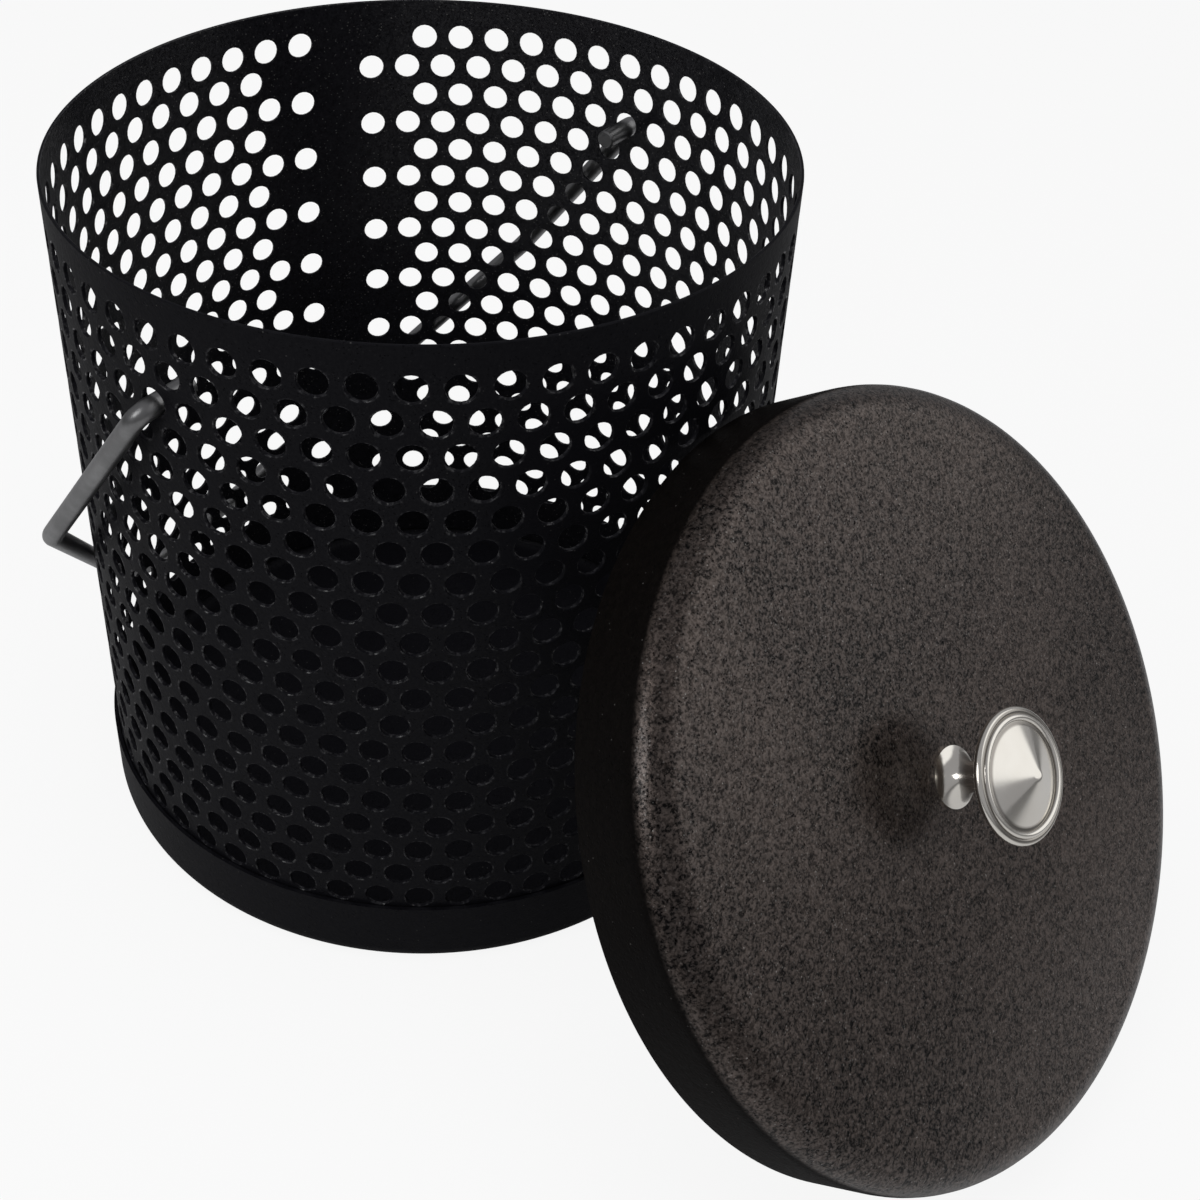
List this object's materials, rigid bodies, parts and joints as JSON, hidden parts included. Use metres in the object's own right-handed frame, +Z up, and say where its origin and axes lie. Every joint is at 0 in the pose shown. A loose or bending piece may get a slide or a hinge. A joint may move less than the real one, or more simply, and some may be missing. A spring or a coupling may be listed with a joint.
{
  "type": "popcorn popper bucket",
  "caption": "Round perforated steel popper bucket with solid base pan, swinging wire bail and a knobbed lift-off lid leaning against its side.",
  "frame": {"origin": "centre of the base pan's underside, on the floor", "axes": "+Z up along the bucket's axis; +X along the bail's pivot line; the bail hangs toward +Y and the lid leans toward -Y"},
  "size_m": [0.2346, 0.3937, 0.224],
  "materials": {
    "bucket_paint": "fine textured black paint, semi-gloss",
    "lid_paint": "fine textured brown-black paint, semi-gloss",
    "bail_steel": "satin drawn rod",
    "knob_plate": "polished plate",
    "screw_steel": "zinc plated"
  },
  "bodies": {
    "bucket": {"perforated_wall": "bucket_paint", "base_pan": "bucket_paint"},
    "bail": {"bail": "bail_steel"},
    "lid": {"lid_pan": "lid_paint", "lid_knob": "knob_plate", "knob_screw": "screw_steel"}
  },
  "joints": [
    {"name": "bail_swing", "type": "hinge", "parent": "bucket", "child": "bail", "pos_m": [0, 0.00151, 0.19015], "axis": [1, 0, 0], "range_deg": [0, 215]},
    {"name": "lid_lift", "type": "slide", "parent": "bucket", "child": "lid", "axis": [-0.0524, -0.8101, 0.584], "range_m": [0, 0.3]}
  ]
}
